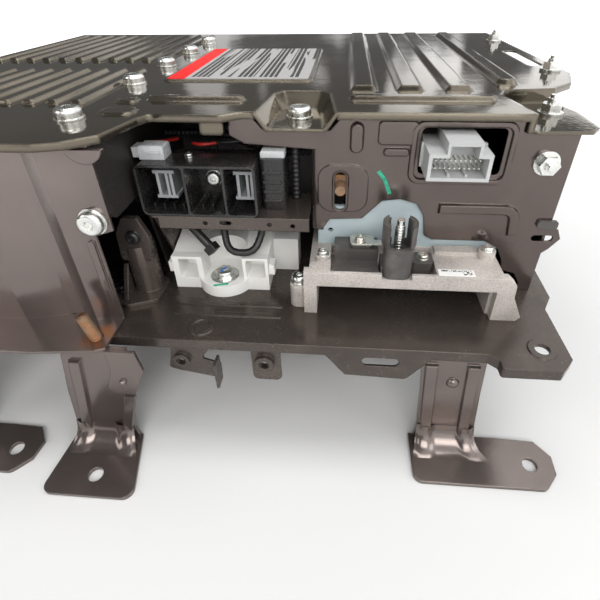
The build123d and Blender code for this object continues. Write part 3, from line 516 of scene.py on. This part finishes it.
leaningStud = {
    "foot": (-61.6, -169.2, 88.2), "tip": (-65.0, -170.2, 107.7),
    "radii": (3.45, 3.45, 3.05, 3.05), "gap": 0.42, "sides": 20,
}
bm = bmesh.new()
studRoute = evenRoute([Vector(leaningStud["foot"]), Vector(leaningStud["tip"])], leaningStud["gap"])
sweptTube(bm, studRoute, leaningStud["radii"], leaningStud["sides"])
bmesh.ops.recalc_face_normals(bm, faces=bm.faces)
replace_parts(newPiece("rustyStud", bm, rustySteel), "flange_stud")
print("leads and stud laid")


strokeShape = {"gap": 0.8, "shortest": 0.01, "height": 0.16, "overlap": 1.5}  # mm, and times its length


def paintStroke(bm, points, width, towards):
    # a thin stroke of paint lying on its surface
    spots = evenRoute(easedRoute(points), strokeShape["gap"])
    for first, second in zip(spots, spots[1:]):
        along = second - first
        if along.length < strokeShape["shortest"]:
            continue
        across = along.cross(Vector(towards)).normalized()
        axes = Matrix((across, along.normalized(), Vector(towards).normalized())).transposed().to_4x4()
        size = (width, along.length * strokeShape["overlap"], strokeShape["height"], 1)
        place = Matrix.Translation((first + second) * 0.5 * mm) @ axes @ Matrix.Diagonal(size)
        bmesh.ops.create_cube(bm, size=mm, matrix=place)


marks = {
    "greenTick": {"colour": (0.06, 0.60, 0.38), "towards": (0, -1, 0), "width": 2.2,
                  "strokes": [[(101.5, -106.1, 171.5), (105.5, -106.1, 166.5), (109.0, -106.1, 157.5)]]},
    "greenFootMark": {"colour": (0.05, 0.50, 0.30), "towards": (0, -0.2, 1), "width": 1.6,
                      "strokes": [[(-2, -124.5, 96.75), (3, -123.2, 96.75), (7, -122.2, 96.75)]]},
    "blueBoltMark": {"colour": (0.03, 0.22, 0.72), "towards": (0, 0, 1), "width": 1.3,
                     "strokes": [[(1.5, -115.2, 101.6), (2.0, -112.5, 101.9), (4.0, -110.5, 101.7)]]},
}
markPaint = {"wear": (700, 2), "wearSpan": (0.35, 0.6), "dull": 0.7, "roughness": 0.45}
for name, mark in marks.items():
    material, tree, shader = newMaterial(name + "Paint")
    wear = noise(tree, objectPoints(tree), *markPaint["wear"])
    dull = tuple(c * markPaint["dull"] for c in mark["colour"])
    worn = blend(tree, wear, markPaint["wearSpan"], dull, mark["colour"])
    tree.links.new(worn, shader.inputs["Base Color"])
    shader.inputs["Roughness"].default_value = markPaint["roughness"]
    bm = bmesh.new()
    for stroke in mark["strokes"]:
        paintStroke(bm, stroke, mark["width"], mark["towards"])
    newPiece(name, bm, material, smooth=False)

redWire = mouldedPlastic("redWire", (0.42, 0.020, 0.015), (0.35, 0.5), softEdge=0)
wires = {
    "redWires": {"material": redWire, "radius": 1.1, "routes": [
        [(-40.5, -100, 183), (-36, -102, 186), (-30, -96, 184), (-24, -84, 182)],
        [(-12, -92, 182), (-4, -98, 183.2), (6, -92, 183), (12, -80, 181)],
        [(24, -96, 184), (30, -101, 186.4), (38, -97, 187), (44, -86, 186)]]},
    "thinWires": {"material": darkRubber, "radius": 1.2, "routes": [
        [(-10, -70, 184), (0, -86, 186), (14, -92, 187), (30, -84, 190), (44, -74, 192)],
        [(-10, -74, 182), (2, -90, 184), (16, -95, 185), (32, -88, 188), (46, -78, 191)],
        [(-20, -72, 180), (-6, -88, 183), (10, -97, 184), (28, -92, 186), (46, -82, 188)]]},
}
wireShape = {"gap": 2.0, "sides": 8}
for name, wire in wires.items():
    bm = bmesh.new()
    for route in wire["routes"]:
        sweptTube(bm, evenRoute(easedRoute(route), wireShape["gap"]), (wire["radius"],), wireShape["sides"])
    bmesh.ops.recalc_face_normals(bm, faces=bm.faces)
    newPiece(name, bm, wire["material"])
print("marks and wires laid")

legBends = {
    "frontRightBend": {"web": (134.7, 172.5), "face": -163.5, "flare": (3, 10)},
    "frontLeftBend": {"web": (-95, -55), "face": -176.0, "flare": (4, 6)},
    "farLeftBend": {"web": (-205.3, -167.5), "face": -175.5, "flare": (3, 10)},
    "rearRightBend": {"web": (134.7, 172.5), "face": 189.0, "flare": (3, 10)},
    "rearLeftBend": {"web": (-205.3, -167.5), "face": 189.0, "flare": (3, 10)},
}
bendShape = {
    "radius": 15.0, "pad": 2.5, "clear": 0.12,  # mm
    "bead": 2.3, "beadSide": 0.68, "beadWidth": 0.22, "beadSteep": 4, "beadEnd": 1.25,
    "columns": 36, "rows": 18,
}


def pressedBend(bend, shape):
    # the rounded foot of a pressed leg, with its two beads running out onto the pad
    outward = -1 if bend["face"] < 0 else 1
    low, high = bend["web"]
    bm = bmesh.new()
    bmesh.ops.create_grid(bm, x_segments=shape["columns"], y_segments=shape["rows"], size=1)
    for vert in bm.verts:
        side, t = vert.co.x, (vert.co.y + 1) / 2
        turn = t * math.pi / 2
        left = low - bend["flare"][0] * t ** 3
        right = high + bend["flare"][1] * t ** 3
        fade = math.sin(math.pi * min(1, shape["beadEnd"] * (1 - t)) / 2)
        crest = math.exp(-((abs(side) - shape["beadSide"]) / shape["beadWidth"]) ** shape["beadSteep"])
        radius = shape["radius"] - shape["bead"] * crest * fade - shape["clear"]
        y = bend["face"] + outward * (shape["radius"] - radius * math.cos(turn))
        z = shape["pad"] + shape["radius"] - radius * math.sin(turn)
        vert.co = Vector(((left + right) / 2 + side * (right - left) / 2, y, z)) * mm
    bmesh.ops.recalc_face_normals(bm, faces=bm.faces)
    return bm


for name, bend in legBends.items():
    newPiece(name, pressedBend(bend, bendShape), legPaint)
print("leg bends rounded")


# floor, surround and soft lights

paperFloor = {
    "half": 6.0,  # m
    "lit": 0.80, "seen": 0.64, "fade": (0.30, 1.1), "glow": 0.8,
}


def makeFloor(shape):
    # plain paper that glows towards white past the part, for the camera and in reflections only
    bm = bmesh.new()
    bmesh.ops.create_grid(bm, x_segments=1, y_segments=1, size=shape["half"])
    mesh = bpy.data.meshes.new("floor")
    bm.to_mesh(mesh)
    bm.free()
    floor = bpy.data.objects.new("floor", mesh)
    bpy.context.scene.collection.objects.link(floor)
    material, tree, shader = newMaterial("floorPaper")
    tree.nodes.remove(shader)
    plain = tree.nodes.new("ShaderNodeBsdfDiffuse")
    path = tree.nodes.new("ShaderNodeLightPath")
    seen = mathNode(tree, "MAXIMUM", path.outputs["Is Camera Ray"], path.outputs["Is Glossy Ray"])
    tree.links.new(mixColour(tree, seen, grey(shape["lit"]), grey(shape["seen"])), plain.inputs["Color"])
    reach = tree.nodes.new("ShaderNodeVectorMath")
    reach.operation = "LENGTH"
    tree.links.new(objectPoints(tree), reach.inputs[0])
    near, far = shape["fade"]
    fade = mathNode(tree, "DIVIDE", mathNode(tree, "SUBTRACT", reach.outputs["Value"], near), far - near)
    glow = tree.nodes.new("ShaderNodeEmission")
    glow.inputs["Color"].default_value = (1, 1, 1, 1)
    paleOut = blend(tree, fade, (0.0, 1.0), 0, shape["glow"])
    tree.links.new(mathNode(tree, "MULTIPLY", seen, paleOut), glow.inputs["Strength"])
    both = tree.nodes.new("ShaderNodeAddShader")
    tree.links.new(plain.outputs[0], both.inputs[0])
    tree.links.new(glow.outputs[0], both.inputs[1])
    out = next(n for n in tree.nodes if n.type == "OUTPUT_MATERIAL")
    tree.links.new(both.outputs[0], out.inputs["Surface"])
    mesh.materials.append(material)


surround = {
    "sides": [(0.0, 0.80), (0.50, 0.80), (0.60, 1.8), (1.0, 1.3)],  # from the left round to the right
    "dim": 0.13, "cloud": (6, 2), "lean": 0.22, "streak": (0.49, 0.54),
    "soft": 0.7, "gloss": 1.0, "white": 1.0,
}


def makeSurround(shape):
    # white to the camera, pale streaks on a dim ground to everything else
    world = bpy.data.worlds.new("studio")
    bpy.context.scene.world = world
    world.use_nodes = True
    tree = world.node_tree
    light = next(n for n in tree.nodes if n.type == "BACKGROUND")
    source = tree.nodes.new("ShaderNodeTexCoord")
    split = tree.nodes.new("ShaderNodeSeparateXYZ")
    tree.links.new(source.outputs["Generated"], split.inputs["Vector"])
    side = mathNode(tree, "ADD", mathNode(tree, "MULTIPLY", split.outputs["X"], 0.5), 0.5)
    soft = ramp(tree, side, shape["sides"])
    uneven = mathNode(tree, "ADD", noise(tree, source.outputs["Generated"], *shape["cloud"]),
                      mathNode(tree, "MULTIPLY", split.outputs["X"], shape["lean"]))
    streaks = blend(tree, uneven, shape["streak"], 0, 1)
    tree.links.new(mixColour(tree, streaks, grey(shape["dim"]), soft), light.inputs["Color"])
    path = tree.nodes.new("ShaderNodeLightPath")
    extra = mathNode(tree, "MULTIPLY", path.outputs["Is Glossy Ray"], shape["gloss"] - shape["soft"])
    tree.links.new(mathNode(tree, "ADD", extra, shape["soft"]), light.inputs["Strength"])
    white = tree.nodes.new("ShaderNodeBackground")
    white.inputs["Color"].default_value = (1, 1, 1, 1)
    white.inputs["Strength"].default_value = shape["white"]
    either = mathNode(tree, "MAXIMUM", path.outputs["Is Camera Ray"], path.outputs["Is Transmission Ray"])
    mixed = tree.nodes.new("ShaderNodeMixShader")
    out = next(n for n in tree.nodes if n.type == "OUTPUT_WORLD")
    tree.links.new(either, mixed.inputs["Fac"])
    tree.links.new(light.outputs[0], mixed.inputs[1])
    tree.links.new(white.outputs[0], mixed.inputs[2])
    tree.links.new(mixed.outputs[0], out.inputs["Surface"])


lamps = {  # metres and watts
    "frontSoft": {"spot": (0.3, -3.0, 2.3), "target": (0.05, -0.1, 0.1), "size": (2.4, 1.8), "power": 72,
                  "colour": (1, 0.99, 0.97)},
    "leftSoft": {"spot": (-3.0, -2.0, 2.0), "target": (0, -0.1, 0.1), "size": (1.8, 1.8), "power": 33,
                 "colour": (1, 0.98, 0.95)},
    "rightSoft": {"spot": (3.2, -1.2, 2.4), "target": (0.05, 0, 0.1), "size": (2.0, 2.0), "power": 34,
                  "colour": (0.96, 0.98, 1)},
    "topSoft": {"spot": (0.1, 0.4, 3.6), "target": (0.05, 0, 0.1), "size": (3.0, 1.2), "power": 74,
                "colour": (1, 1, 1)},
}


def areaLight(name, shape):
    lamp = bpy.data.lights.new(name, "AREA")
    lamp.shape = "RECTANGLE"
    lamp.size, lamp.size_y = shape["size"]
    lamp.energy = shape["power"]
    lamp.color = shape["colour"]
    holder = bpy.data.objects.new(name, lamp)
    bpy.context.scene.collection.objects.link(holder)
    aim = Vector(shape["target"]) - Vector(shape["spot"])
    turned = aim.to_track_quat("-Z", "Y").to_matrix().to_4x4()
    holder.matrix_world = Matrix.Translation(shape["spot"]) @ turned


makeFloor(paperFloor)
makeSurround(surround)
for name, shape in lamps.items():
    areaLight(name, shape)
print("studio lit")
